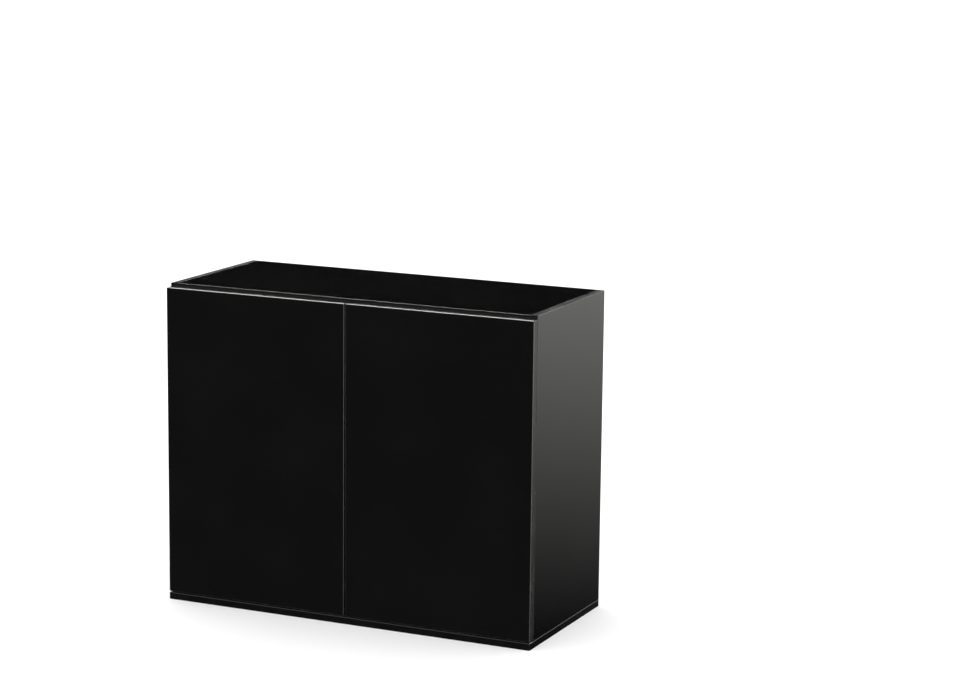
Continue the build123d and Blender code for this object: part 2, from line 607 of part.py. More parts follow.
def base_bands():
    """Front and side bands of the base board, rounded where they show."""
    front = span_box((-HALF, HALF), (FACE, FACE + BAND), (0, BASE_BOARD))
    edges = [e for e in front.edges()
             if (abs(e.center().Y - FACE) < NEAR and abs(e.center().Z - BASE_BOARD) < NEAR)
             or (abs(abs(e.center().X) - HALF) < NEAR
                 and (abs(e.center().Z - BASE_BOARD) < NEAR or abs(e.center().Y - FACE) < NEAR)
                 and abs(e.center().Z) > NEAR)]
    front = fillet(edges, BAND_ROUND)
    side = span_box((-HALF, -HALF + BAND), (FACE + BAND, BACK), (0, BASE_BOARD))
    side = round_edges(side, BAND_ROUND, Axis.Y, [("X", -HALF), ("Z", BASE_BOARD)])
    return [front] + both([side])


def door_board():
    """The left door's board, bored for its cups and screws."""
    core = span_box((-HALF + BAND, -SEAM / 2 - BAND), (FACE, FACE + DOOR),
                    (DOOR_BOTTOM + BAND, DOOR_TOP - BAND))
    return cut(core, [cup_bore(z) for z in HINGE_LEVELS] + LEFT_CUP_SCREWS + strike_screws())


def upright_band(outer, inner):
    """A door's upright band, rounded on its outer front edge and at both ends."""
    strip = span_box(sorted((outer, inner)), (FACE, FACE + DOOR), (DOOR_BOTTOM, DOOR_TOP))
    edges = []
    for edge in strip.edges():
        centre = edge.center()
        end = min(abs(centre.Z - DOOR_TOP), abs(centre.Z - DOOR_BOTTOM)) < NEAR
        at_front, at_outer = abs(centre.Y - FACE) < NEAR, abs(centre.X - outer) < NEAR
        if at_front + at_outer + end == 2:
            edges.append(edge)
    return fillet(edges, BAND_ROUND)


def level_band(outer, inner):
    """A door's top or bottom band between the upright ones."""
    strip = span_box((-HALF + BAND, -SEAM / 2 - BAND), (FACE, FACE + DOOR), sorted((outer, inner)))
    return round_edges(strip, BAND_ROUND, Axis.X, [("Y", FACE), ("Z", outer)])


def door_bands():
    """The four bands of the left door."""
    return [upright_band(-HALF, -HALF + BAND), upright_band(-SEAM / 2, -SEAM / 2 - BAND),
            level_band(DOOR_TOP, DOOR_TOP - BAND), level_band(DOOR_BOTTOM, DOOR_BOTTOM + BAND)]


def front_strip(x, z):
    """A thin band on a board's front edge, between limits in X and Z."""
    return span_box(x, (FRONT, FRONT + THIN_BAND), z)


def top_band():
    """The top board's front band, eased along its upper front edge."""
    return round_edges(front_strip((-INNER, INNER), (TOP_UNDER, HEIGHT)), FINE_ROUND, Axis.X,
                       [("Y", FRONT), ("Z", HEIGHT)])


def shelf_board():
    """The left shelf."""
    return span_box((-INNER + SHELF_SIDE_GAP, -BAY_EDGE - SHELF_SIDE_GAP),
                    (SHELF_FRONT + THIN_BAND, SHELF_BACK), (SHELF_UNDER, SHELF_HEIGHT))


def shelf_band():
    """The left shelf's front band."""
    return span_box((-INNER + SHELF_SIDE_GAP, -BAY_EDGE - SHELF_SIDE_GAP),
                    (SHELF_FRONT, SHELF_FRONT + THIN_BAND), (SHELF_UNDER, SHELF_HEIGHT))


def rail(level):
    """A rear rail of the left bay."""
    low = RAIL_LEVELS[level]
    board = span_box((-INNER, -BAY_EDGE), (RAIL_FRONT, BACK), (low, low + RAIL_HEIGHT))
    return bored(board)


BASE = span_box((-HALF + BAND, HALF - BAND), (FACE + BAND, BACK), (0, BASE_BOARD))
TOP = span_box((-INNER, INNER), (FRONT + THIN_BAND, BACK), (TOP_UNDER, HEIGHT))
PARTITION = span_box((-BAY_EDGE, BAY_EDGE), (FRONT + THIN_BAND, BACK), (BASE_BOARD, TOP_UNDER))
LATCH_SCREWS = both(latch_screws())

NODES = {
    "base_panel": bored(BASE),
    "base_edge_bands": group(base_bands()),
    "left_side_panel": side_board(),
    "right_side_panel": flip(side_board()),
    "side_edge_bands": group(both(side_bands())),
    "top_panel": bored(TOP),
    "top_edge_band": top_band(),
    "centre_partition": bored(PARTITION, PIN_HOLES + LATCH_SCREWS),
    "partition_edge_band": front_strip((-BAY_EDGE, BAY_EDGE), (BASE_BOARD, TOP_UNDER)),
    "shelf_edge_bands": group(both([shelf_band()])),
    "shelf_pins": group(PINS),
    "base_screws": group(SCREWS),
    "wood_dowels": group(DOWELS),
    "cam_discs": group([cut(cam, [bolt for bolt in BOLTS if reaches(bolt, cam)]) for cam in CAMS]),
    "cam_bolts": group(BOLTS),
    "cam_cover_caps": group(CAPS),
    "latch_screws": group(LATCH_SCREWS),
    "latch_springs": group(both([latch_spring()])),
}

LEFT_NODES = {
    "rear_top_rail": rail("top"),
    "rear_bottom_rail": rail("bottom"),
    "shelf": shelf_board(),
    "door": door_board(),
    "door_edge_bands": group(door_bands()),
    "door_bumpers": group(bumpers()),
    "strike_plate": strike_plate(),
    "strike_screws": group(strike_screws()),
    "hinge_cups": group(per_hinge(hinge_cup)),
    "hinge_cup_pins": group(per_hinge(cup_pins)),
    "hinge_cup_screws": group(LEFT_CUP_SCREWS),
    "hinge_main_links": group(per_hinge(main_links)),
    "hinge_second_links": group(per_hinge(second_link)),
    "hinge_arms": group(per_hinge(hinge_arm)),
    "hinge_arm_pins": group(per_hinge(arm_pins)),
    "hinge_plates": group(per_hinge(mounting_plate)),
    "hinge_plate_screws": group(LEFT_PLATE_SCREWS + per_hinge(arm_screw)),
    "latch_housing": latch_housing(),
    "latch_plunger": latch_plunger(),
    "latch_magnet": latch_magnet(),
}
for name, shape in LEFT_NODES.items():
    NODES["left_" + name] = shape
    NODES["right_" + name] = flip(shape)

os.makedirs("parts", exist_ok=True)
for name, shape in NODES.items():
    export_step(shape, f"parts/{name}.step")
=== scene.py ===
"""Aquarium stand cabinet: finishes, pressed and moulded detail, and a plain white studio.

Lengths are in metres in the cabinet's own frame: X to the right, Y to the back, Z up. Boards, bands,
dowels, bolts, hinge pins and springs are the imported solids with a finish. Screws, cams, caps and pads
are drawn here as surfaces. Pressed and moulded pieces are copies of their solids with eased edges.
"""
import json
import logging
import math
from collections.abc import Callable, Iterable
from dataclasses import dataclass, field
from enum import Enum
from functools import partial, reduce

import bmesh
import bpy
import numpy as np
from mathutils import Matrix, Vector

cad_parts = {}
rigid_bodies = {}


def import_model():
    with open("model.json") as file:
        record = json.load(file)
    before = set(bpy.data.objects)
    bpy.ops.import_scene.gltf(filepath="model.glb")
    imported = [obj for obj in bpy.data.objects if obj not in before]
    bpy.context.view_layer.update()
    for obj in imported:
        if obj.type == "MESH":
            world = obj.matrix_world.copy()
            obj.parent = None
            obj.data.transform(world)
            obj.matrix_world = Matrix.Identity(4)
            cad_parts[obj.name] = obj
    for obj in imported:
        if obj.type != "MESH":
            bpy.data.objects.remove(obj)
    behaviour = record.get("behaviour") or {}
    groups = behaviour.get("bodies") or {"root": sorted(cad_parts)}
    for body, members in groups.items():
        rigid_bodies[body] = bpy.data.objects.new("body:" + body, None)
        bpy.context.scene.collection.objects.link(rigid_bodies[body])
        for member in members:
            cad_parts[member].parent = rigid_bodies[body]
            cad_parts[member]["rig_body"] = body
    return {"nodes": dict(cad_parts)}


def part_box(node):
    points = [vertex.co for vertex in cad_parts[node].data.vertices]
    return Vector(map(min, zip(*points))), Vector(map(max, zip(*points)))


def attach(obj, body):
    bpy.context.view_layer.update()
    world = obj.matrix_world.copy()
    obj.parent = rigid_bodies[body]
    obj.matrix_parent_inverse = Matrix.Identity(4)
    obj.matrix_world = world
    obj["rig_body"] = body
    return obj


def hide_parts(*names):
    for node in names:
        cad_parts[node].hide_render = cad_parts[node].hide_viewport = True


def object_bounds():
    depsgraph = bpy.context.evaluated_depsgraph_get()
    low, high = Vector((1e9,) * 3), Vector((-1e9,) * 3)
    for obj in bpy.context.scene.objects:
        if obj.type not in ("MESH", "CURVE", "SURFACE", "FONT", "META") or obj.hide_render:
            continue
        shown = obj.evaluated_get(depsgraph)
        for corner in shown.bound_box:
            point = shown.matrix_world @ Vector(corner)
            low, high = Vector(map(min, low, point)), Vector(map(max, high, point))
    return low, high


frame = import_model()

CAD_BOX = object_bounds()
MM = 0.001
SAME_PLACE = 1e-6            # vertices closer than this are one
SKIN = 0.3 * MM              # how far a face's finish reaches below it
FLAT_WITHIN = 1.0            # degrees; triangles that meet flatter than this are one face
SHARP_FROM = 40.0            # degrees; edges sharper than this are eased
TURNED_SMOOTH = 35.0         # degrees; below these, edges of drawn and of eased pieces shade smooth
EASED_SMOOTH = 30.0
EASE_STEPS = 2               # segments of an eased edge
log = logging.getLogger("cabinet")

Triple = tuple[float, float, float]
Colour = Triple
Value = float | Colour | bpy.types.NodeSocket
Box = tuple[np.ndarray, np.ndarray]


class Side(Enum):
    """The cabinet's two halves, by the word that starts their nodes' names."""

    LEFT = "left"
    RIGHT = "right"


class Axis(Enum):
    """An axis of the frame, as its index."""

    X = 0
    Y = 1
    Z = 2

    def unit(self, sign: float = 1.0) -> np.ndarray:
        """The unit vector along the axis, or against it for a negative sign."""
        return sign * np.eye(3)[self.value]


# --- shader graphs ------------------------------------------------------------------------------
@dataclass(frozen=True)
class Pattern:
    """A cloudy noise, squeezed along an axis whose stretch is above 1 and drawn out where it is below."""

    scale: float                 # clouds to a metre
    detail: float = 2.0          # finer layers
    stretch: Triple = (1.0, 1.0, 1.0)


class Graph:
    """Short calls for the nodes of one shader tree."""

    def __init__(self, tree: bpy.types.NodeTree) -> None:
        """Take over a tree and empty it."""
        self.tree = tree
        tree.nodes.clear()

    def node(self, kind: str, **settings: object) -> bpy.types.Node:
        """Add a node.

        Args:
            kind: The node type's identifier.
            settings: Properties to set on it.

        Returns:
            The new node.
        """
        made = self.tree.nodes.new(kind)
        for key, value in settings.items():
            setattr(made, key, value)
        return made

    def link(self, source: bpy.types.NodeSocket, target: bpy.types.NodeSocket) -> None:
        """Join an output to an input."""
        self.tree.links.new(source, target)

    def feed(self, target: bpy.types.NodeSocket, value: Value) -> None:
        """Give an input a number, a colour or another node's output.

        Args:
            target: The input.
            value: What it takes.
        """
        if isinstance(value, bpy.types.NodeSocket):
            self.link(value, target)
        elif isinstance(value, tuple) and len(target.default_value) > len(value):
            target.default_value = (*value, 1.0)
        else:
            target.default_value = value

    def math(self, operation: str, *values: Value) -> bpy.types.NodeSocket:
        """Work out one number from others.

        Args:
            operation: The calculation's identifier.
            values: Its inputs in order.

        Returns:
            The result.
        """
        made = self.node("ShaderNodeMath", operation=operation)
        for socket, value in zip(made.inputs, values):
            self.feed(socket, value)
        return made.outputs[0]

    def mean(self, *values: Value) -> bpy.types.NodeSocket:
        """The mean of two numbers."""
        return self.math("MULTIPLY", self.math("ADD", *values), 0.5)

    def fade(self, value: Value, start: float, end: float, low: float = 0.0, high: float = 1.0
             ) -> bpy.types.NodeSocket:
        """Carry a number from one range to another, held at its ends.

        Args:
            value: The number.
            start: Where the result is low.
            end: Where the result is high; it may be less than start.
            low: The result up to start.
            high: The result past end.

        Returns:
            The carried number.
        """
        made = self.node("ShaderNodeMapRange")
        given = {"Value": value, "From Min": start, "From Max": end, "To Min": low, "To Max": high}
        for name, number in given.items():
            self.feed(made.inputs[name], number)
        return made.outputs["Result"]

    def axes(self, vector: bpy.types.NodeSocket) -> dict[Axis, bpy.types.NodeSocket]:
        """Take a vector apart.

        Args:
            vector: The vector.

        Returns:
            Its part along each axis.
        """
        made = self.node("ShaderNodeSeparateXYZ")
        self.link(vector, made.inputs[0])
        return {axis: made.outputs[axis.value] for axis in Axis}


class Coat(Graph):
    """A material's graph: one surface shader, fed by patterns on the piece's own coordinates."""

    usual: tuple[float, float] = (0.3, 0.7)    # nearly all of a noise's values lie between these
    flat: float = 0.995                        # largest part of a normal on a flat
    turned: float = 0.93                       # and well within a rounding

    def __init__(self, name: str) -> None:
        """Start a material.

        Args:
            name: The material's name.
        """
        self.material = bpy.data.materials.new(name)
        self.material.use_nodes = True
        super().__init__(self.material.node_tree)
        self.shader = self.node("ShaderNodeBsdfPrincipled")
        output = self.node("ShaderNodeOutputMaterial")
        self.link(self.shader.outputs["BSDF"], output.inputs["Surface"])
        self.coordinates = self.node("ShaderNodeTexCoord")

    def stretched(self, stretch: Triple) -> bpy.types.NodeSocket:
        """Squeeze a pattern by multiplying the coordinates that it reads.

        Args:
            stretch: Multiplier on each axis.

        Returns:
            The piece's own coordinates, multiplied.
        """
        mapping = self.node("ShaderNodeMapping")
        mapping.inputs["Scale"].default_value = stretch
        self.link(self.coordinates.outputs["Object"], mapping.inputs["Vector"])
        return mapping.outputs[0]

    def noise(self, pattern: Pattern) -> bpy.types.NodeSocket:
        """Draw a noise on the piece.

        Args:
            pattern: The noise.

        Returns:
            A number near one half.
        """
        made = self.node("ShaderNodeTexNoise")
        self.link(self.stretched(pattern.stretch), made.inputs["Vector"])
        made.inputs["Scale"].default_value = pattern.scale
        made.inputs["Detail"].default_value = pattern.detail
        return made.outputs["Fac"]

    def cells(self, scale: float, stretch: Triple) -> tuple[bpy.types.NodeSocket, bpy.types.NodeSocket]:
        """Irregular flakes.

        Args:
            scale: Flakes to a metre.
            stretch: Multiplier on each axis.

        Returns:
            A random number for each flake, and the distance from its middle.
        """
        made = self.node("ShaderNodeTexVoronoi")
        self.link(self.stretched(stretch), made.inputs["Vector"])
        made.inputs["Scale"].default_value = scale
        tone = self.node("ShaderNodeSeparateColor")
        self.link(made.outputs["Color"], tone.inputs[0])
        return tone.outputs[0], made.outputs["Distance"]

    def mix(self, factor: Value, first: Value, second: Value) -> bpy.types.NodeSocket:
        """Mix two colours.

        Args:
            factor: 0 for the first colour, 1 for the second.
            first: The first colour.
            second: The second colour.

        Returns:
            The mixed colour.
        """
        made = self.node("ShaderNodeMix", data_type="RGBA")
        self.feed(made.inputs["Factor"], factor)
        for socket, value in zip(made.inputs[6:8], (first, second)):
            self.feed(socket, value)
        return made.outputs[2]

    def spread(self, pattern: Value, run: tuple[float, float]) -> bpy.types.NodeSocket:
        """Carry a noise pattern's usual values to a range."""
        return self.fade(pattern, *self.usual, *run)

    def rounding(self) -> bpy.types.NodeSocket:
        """Find eased edges by how far the normal leaves all three axes.

        Returns:
            1 on an eased edge and 0 on a flat.
        """
        size = self.node("ShaderNodeVectorMath", operation="ABSOLUTE")
        self.link(self.coordinates.outputs["Normal"], size.inputs[0])
        parts = self.axes(size.outputs[0])
        largest = self.math("MAXIMUM", self.math("MAXIMUM", parts[Axis.X], parts[Axis.Y]), parts[Axis.Z])
        return self.fade(largest, self.flat, self.turned)

    def set(self, **values: Value) -> None:
        """Give the shader's inputs their values; an underscore in a name stands for a space."""
        for name, value in values.items():
            self.feed(self.shader.inputs[name.replace("_", " ")], value)

    def bump(self, height: bpy.types.NodeSocket, distance: float) -> None:
        """Raise the surface by a pattern, on top of the patterns given before.

        Args:
            height: The pattern.
            distance: The height of a full step, in metres.
        """
        made = self.node("ShaderNodeBump")
        made.inputs["Distance"].default_value = distance
        self.link(height, made.inputs["Height"])
        before = self.shader.inputs["Normal"].links
        if before:
            self.link(before[0].from_socket, made.inputs["Normal"])
        self.link(made.outputs[0], self.shader.inputs["Normal"])


# --- finishes -----------------------------------------------------------------------------------
@dataclass(frozen=True)
class Tone:
    """Two colours that a finish drifts between, and the range of its roughness."""

    dark: Colour
    light: Colour
    rough: tuple[float, float]


PEARL = Tone((0.012, 0.012, 0.0125), (0.019, 0.019, 0.0195), (0.34, 0.50))
BOARD_GLOSS = Tone((0.0010, 0.0010, 0.0010), (0.0024, 0.0024, 0.0023), (0.045, 0.095))
DOOR_GLOSS = Tone((0.0012, 0.0012, 0.0012), (0.0026, 0.0026, 0.0026), (0.04, 0.10))


class BoardCoat(Coat):
    """A board's graph, with its gloss, its pearl grain and its raw chipboard."""

    haze: Pattern = Pattern(5.0, 4.0)
    hazy: tuple[float, float] = (0.4, 0.7)     # haze grows between these values of its noise
    haze_share: float = 0.6                    # of the way to the lighter colour
    wipe: Pattern = Pattern(9.0, 3.0, (1.0, 1.0, 7.0))    # level streaks of a wiping cloth
    dust: Pattern = Pattern(2600.0, 1.0)
    dusty: tuple[float, float] = (0.76, 0.81)  # only the noise's peaks are dust
    peel: Pattern = Pattern(240.0, 1.0)        # orange peel
    peel_height: float = 0.003 * MM
    grain: Pattern = Pattern(900.0, 3.0)       # pearl grain
    grain_height: float = 0.03 * MM
    worn: tuple[float, float] = (0.4, 0.6)
    flakes: float = 480.0                      # to a metre
    flake_height: float = 0.6 * MM
    flake_along: float = 0.45                  # stretch of a flake along the board
    flake_across: float = 1.3                  # and across it
    chip_dark: Colour = (0.16, 0.095, 0.048)
    chip_light: Colour = (0.52, 0.39, 0.24)
    chip_rough: float = 0.85

    def place(self, axis: Axis) -> bpy.types.NodeSocket:
        """One of the piece's own coordinates."""
        return self.axes(self.coordinates.outputs["Object"])[axis]

    def gloss(self, tone: Tone) -> tuple[bpy.types.NodeSocket, bpy.types.NodeSocket]:
        """Mirror black with orange peel, wiping haze and a few dust specks.

        Args:
            tone: Its colours and roughness.

        Returns:
            The colour and the roughness.
        """
        cloud = self.noise(self.haze)
        speck = self.fade(self.noise(self.dust), *self.dusty)
        worn = self.math("MAXIMUM", self.fade(cloud, *self.hazy, 0.0, self.haze_share), speck)
        self.bump(self.noise(self.peel), self.peel_height)
        rough = self.spread(self.mean(cloud, self.noise(self.wipe)), tone.rough)
        return self.mix(worn, tone.dark, tone.light), rough

    def pearl(self, clouds: Pattern, where: Value = 1.0
              ) -> tuple[bpy.types.NodeSocket, bpy.types.NodeSocket]:
        """Black melamine with a fine pearl grain.

        Args:
            clouds: Where it is worn.
            where: How much of the grain's height stays.

        Returns:
            The colour and the roughness.
        """
        grain = self.noise(self.grain)
        both = self.mean(self.noise(clouds), grain)
        self.bump(self.math("MULTIPLY", grain, where), self.grain_height)
        black = self.mix(self.fade(both, *self.worn), PEARL.dark, PEARL.light)
        return black, self.spread(both, PEARL.rough)

    def lay(self, colour: Value, rough: Value, raw_from: float, thin: Axis) -> None:
        """Lay a finish on the board, with raw chipboard at its back.

        Args:
            colour: The finish's colour.
            rough: Its roughness.
            raw_from: Where the chipboard starts on Y.
            thin: The axis across the board; the flakes lie flat in it.
        """
        raw = self.math("GREATER_THAN", self.place(Axis.Y), raw_from)
        squeeze = {Axis.X: self.flake_along, Axis.Y: 1.0, Axis.Z: self.flake_along, thin: self.flake_across}
        flake, from_middle = self.cells(self.flakes, tuple(squeeze[axis] for axis in Axis))
        chips = self.mix(flake, self.chip_dark, self.chip_light)
        self.set(Base_Color=self.mix(raw, colour, chips),
                 Roughness=self.math("MAXIMUM", rough, self.math("MULTIPLY", raw, self.chip_rough)))
        self.bump(self.math("MULTIPLY", from_middle, raw), self.flake_height)


@dataclass(frozen=True)
class GlossBoard:
    """Board with a mirror-black shown face, a pearl-grained inner face and raw chipboard at its back.

    The shown face is where the size of one coordinate passes shown_from, and the raw edge is where Y
    passes raw_from.
    """

    name: str
    shown: Axis
    shown_from: float
    raw_from: float
    clouds: Pattern = Pattern(5.0, 4.0)

    def make(self) -> bpy.types.Material:
        """Build the material.

        Returns:
            The board's material.
        """
        coat = BoardCoat(self.name)
        shown = coat.math("GREATER_THAN", coat.math("ABSOLUTE", coat.place(self.shown)), self.shown_from)
        black, mirror = coat.gloss(BOARD_GLOSS)
        pearl, satin = coat.pearl(self.clouds, coat.math("SUBTRACT", 1.0, shown))
        coat.lay(coat.mix(shown, pearl, black), coat.mix(shown, satin, mirror), self.raw_from, self.shown)
        return coat.material


@dataclass(frozen=True)
class Lacquer:
    """Mirror-black door face with a trace of orange peel, wiping haze and a few dust specks."""

    name: str

    def make(self) -> bpy.types.Material:
        """Build the material.

        Returns:
            The lacquer.
        """
        coat = BoardCoat(self.name)
        black, mirror = coat.gloss(DOOR_GLOSS)
        coat.set(Base_Color=black, Roughness=mirror)
        return coat.material


@dataclass(frozen=True)
class PearlBoard:
    """Inner board in black melamine with a fine pearl grain; its back edge may be raw chipboard."""

    name: str
    raw_from: float
    thin: Axis = Axis.Z          # the axis across the board
    clouds: Pattern = Pattern(6.0, 4.0)

    def make(self) -> bpy.types.Material:
        """Build the material.

        Returns:
            The melamine.
        """
        coat = BoardCoat(self.name)
        coat.lay(*coat.pearl(self.clouds), self.raw_from, self.thin)
        return coat.material


@dataclass(frozen=True)
class EdgeBand:
    """Glossy plastic edge band, paler on its rounded edges: a painted highlight, with some scraper
    whitening.
    """

    name: str
    black: Colour = (0.0012, 0.0012, 0.0012)
    haze: Colour = (0.0028, 0.0028, 0.0028)
    # colour of the rounded edges: a painted highlight, with some scraper whitening
    scraped_and_highlight: Colour = (0.024, 0.024, 0.0235)
    rough: tuple[float, float] = (0.19, 0.30)
    cloud: Pattern = Pattern(25.0, 3.0)
    hazy: tuple[float, float] = (0.4, 0.7)
    marks: Pattern = Pattern(500.0, 2.0, (0.1, 1.0, 0.1))    # the scraper's marks
    marked: tuple[float, float] = (0.2, 0.7)
    mark_height: float = 0.004 * MM
    # least share of the painted edge highlight, where the scraper's marks are faint
    least_edge_paleness: float = 0.75

    def make(self) -> bpy.types.Material:
        """Build the material.

        Returns:
            The band's plastic.
        """
        coat = Coat(self.name)
        cloud, marks = coat.noise(self.cloud), coat.noise(self.marks)
        flat = coat.mix(coat.fade(cloud, *self.hazy), self.black, self.haze)
        # painted highlight: the rounded edges turn paler, broken by the scraper's marks
        edge = coat.math("MULTIPLY", coat.rounding(), coat.fade(marks, *self.marked, self.least_edge_paleness))
        coat.set(Base_Color=coat.mix(edge, flat, self.scraped_and_highlight),
                 Roughness=coat.spread(coat.mean(cloud, marks), self.rough))
        coat.bump(marks, self.mark_height)
        return coat.material


@dataclass(frozen=True)
class Metal:
    """Plated steel or cast zinc: drawn lines, soft stains and a painted highlight of paler eased edges."""

    name: str
    bright: Colour
    dark: Colour
    rough: tuple[float, float]
    drawn: Pattern = Pattern(260.0, 3.0, (1.0, 1.0, 12.0))
    drawn_height: float = 0.01 * MM
    stain: Pattern = Pattern(60.0, 4.0)
    contrast: tuple[float, float] = (0.35, 0.65)
    edge_highlight: float = 0.6         # how far an eased edge is painted bright, a painted highlight

    def make(self) -> bpy.types.Material:
        """Build the material.

        Returns:
            The metal.
        """
        coat = Coat(self.name)
        drawn = coat.noise(self.drawn)
        both = coat.mean(drawn, coat.noise(self.stain))
        # painted highlight: eased edges are made paler
        painted_highlight = coat.math("MULTIPLY", coat.rounding(), self.edge_highlight)
        tone = coat.math("MAXIMUM", coat.fade(both, *self.contrast), painted_highlight)
        coat.set(Base_Color=coat.mix(tone, self.dark, self.bright), Metallic=1.0,
                 Roughness=coat.spread(both, self.rough))
        coat.bump(drawn, self.drawn_height)
        return coat.material


@dataclass(frozen=True)
class Beech:
    """Bare beech dowel: straight grain along X with short dark flecks."""

    name: str
    light: Colour = (0.62, 0.43, 0.26)
    dark: Colour = (0.40, 0.25, 0.13)
    rough: tuple[float, float] = (0.55, 0.75)
    grain: Pattern = Pattern(500.0, 4.0, (0.08, 1.0, 1.0))
    grain_height: float = 0.06 * MM
    fleck: Pattern = Pattern(1400.0, 1.0, (0.2, 1.0, 1.0))
    contrast: tuple[float, float] = (0.38, 0.6)

    def make(self) -> bpy.types.Material:
        """Build the material.

        Returns:
            The wood.
        """
        coat = Coat(self.name)
        grain = coat.noise(self.grain)
        both = coat.mean(grain, coat.noise(self.fleck))
        coat.set(Base_Color=coat.mix(coat.fade(both, *self.contrast), self.dark, self.light),
                 Roughness=coat.spread(both, self.rough))
        coat.bump(grain, self.grain_height)
        return coat.material


@dataclass(frozen=True)
class Moulded:
    """Moulded plastic or rubber with a spark-eroded grain and a slight drift of colour."""

    name: str
    light: Colour
    dark: Colour
    rough: tuple[float, float] = (0.35, 0.55)
    spark: Pattern = Pattern(2200.0, 2.0)
    spark_height: float = 0.03 * MM
    drift: Pattern = Pattern(60.0, 3.0)
    contrast: tuple[float, float] = (0.35, 0.65)

    def make(self) -> bpy.types.Material:
        """Build the material.

        Returns:
            The plastic.
        """
        coat = Coat(self.name)
        spark, drift = coat.noise(self.spark), coat.noise(self.drift)
        coat.set(Base_Color=coat.mix(coat.fade(drift, *self.contrast), self.dark, self.light),
                 Roughness=coat.spread(coat.mean(spark, drift), self.rough))
        coat.bump(spark, self.spark_height)
        return coat.material


# --- meshes -------------------------------------------------------------------------------------
def solids(node: str) -> list[Box]:
    """Find the separate solids that share a CAD node.

    Corners at one place are one point, and each point starts with its own number. Every triangle then
    hands the lowest number among its corners to all three, until nothing changes.

    Args:
        node: The node's name.

    Returns:
        The lowest and highest corner of each solid.
    """
    mesh = frame["nodes"][node].data
    mesh.calc_loop_triangles()
    places = np.empty(3 * len(mesh.vertices))
    mesh.vertices.foreach_get("co", places)
    places = places.reshape(-1, 3)
    corners = np.empty(3 * len(mesh.loop_triangles), dtype=np.int32)
    mesh.loop_triangles.foreach_get("vertices", corners)
    point = np.unique(np.round(places / SAME_PLACE), axis=0, return_inverse=True)[1].ravel()
    triangles = point[corners].reshape(-1, 3)
    number = np.arange(point.max() + 1)
    before = None
    while before is None or (number != before).any():
        before = number.copy()
        np.minimum.at(number, triangles, number[triangles].min(axis=1, keepdims=True))
    owner = number[point]
    return [(places[owner == own].min(axis=0), places[owner == own].max(axis=0)) for own in np.unique(owner)]


def stand(low: np.ndarray, high: np.ndarray, way: np.ndarray) -> tuple[float, float, np.ndarray]:
    """Measure a round piece that faces along one axis.

    Args:
        low: Its lowest corner.
        high: Its highest corner.
        way: A unit vector, the way it faces.

    Returns:
        Its radius, its length and the centre of its face.
    """
    axis = int(np.argmax(np.abs(way)))
    size = high - low
    return np.delete(size, axis).max() / 2, size[axis], (low + high + way * size[axis]) / 2


def finish_piece(piece: bpy.types.Object, nodes: Iterable[str], material: bpy.types.Material
                 ) -> None:
    """Dress a piece and let it stand for CAD nodes of one body.

    Args:
        piece: The new object.
        nodes: The CAD nodes that it replaces.
        material: Its finish.
    """
    names = list(nodes)
    piece.data.materials.clear()
    piece.data.materials.append(material)
    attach(piece, frame["nodes"][names[0]]["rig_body"])
    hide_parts(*names)
    log.info("%s stands for %s, %d faces", piece.name, ", ".join(names), len(piece.data.polygons))


@dataclass
class Surface:
    """Grids of points that are gathered into one mesh."""

    points: list[np.ndarray] = field(default_factory=list)
    faces: list[np.ndarray] = field(default_factory=list)
    count: int = 0

    def add(self, grid: np.ndarray, origin: np.ndarray, outward: np.ndarray) -> None:
        """Take in a grid drawn about Z, turned so that Z points outwards.

        Args:
            grid: Rows by columns of points; the last column meets the first.
            origin: Where the grid's own origin goes.
            outward: A unit vector along one axis of the frame.
        """
        side = np.roll(outward, 1)
        turned = origin + grid @ np.array([side, np.cross(outward, side), outward])
        rows, columns, _ = grid.shape
        row, here = np.arange(rows - 1)[:, None] * columns, np.arange(columns)[None, :]
        beside = (here + 1) % columns
        corners = (row + here, row + columns + here, row + columns + beside, row + beside)
        self.faces.append(np.stack(corners, axis=-1).reshape(-1, 4) + self.count)
        self.points.append(turned.reshape(-1, 3))
        self.count += rows * columns

    def build(self, name: str, smooth: float = TURNED_SMOOTH) -> bpy.types.Object:
        """Make the mesh, with its poles closed and its faces outwards.

        Args:
            name: The object's name.
            smooth: Edges sharper than this many degrees stay sharp.

        Returns:
            The new object.
        """
        mesh = bpy.data.meshes.new(name)
        mesh.from_pydata(np.concatenate(self.points).tolist(), [], np.concatenate(self.faces).tolist())
        return settle(mesh, name, smooth)


def settle(mesh: bpy.types.Mesh, name: str, smooth: float) -> bpy.types.Object:
    """Merge a mesh's doubles, turn its faces outwards and put it in the scene.

    Args:
        mesh: The mesh.
        name: The object's name.
        smooth: Edges sharper than this many degrees stay sharp.

    Returns:
        The new object.
    """
    work = bmesh.new()
    work.from_mesh(mesh)
    bmesh.ops.remove_doubles(work, verts=work.verts, dist=SAME_PLACE)
    bmesh.ops.dissolve_degenerate(work, edges=work.edges, dist=SAME_PLACE)
    bmesh.ops.recalc_face_normals(work, faces=work.faces)
    work.to_mesh(mesh)
    work.free()
    mesh.shade_smooth()
    mesh.set_sharp_from_angle(angle=math.radians(smooth))
    piece = bpy.data.objects.new(name, mesh)
    bpy.context.scene.collection.objects.link(piece)
    return piece


def lathe(radii: np.ndarray, heights: np.ndarray, columns: int = 48) -> np.ndarray:
    """Turn a profile about Z.

    In words: the point of row i and column j lies at radius radii[i], at height heights[i] and at the
    angle of j full turns over the number of columns. Either array may be rows by columns.

    Args:
        radii: Distance from the axis, from the top of the piece to its bottom.
        heights: Height of each.
        columns: Number of steps round.

    Returns:
        The grid of points.
    """
    angle = np.linspace(0.0, 2.0 * math.pi, columns, endpoint=False)
    radii = radii if radii.ndim == 2 else radii[:, None] * np.ones(columns)
    heights = heights if heights.ndim == 2 else heights[:, None] * np.ones(columns)
    return np.stack((radii * np.cos(angle), radii * np.sin(angle), heights), axis=-1)


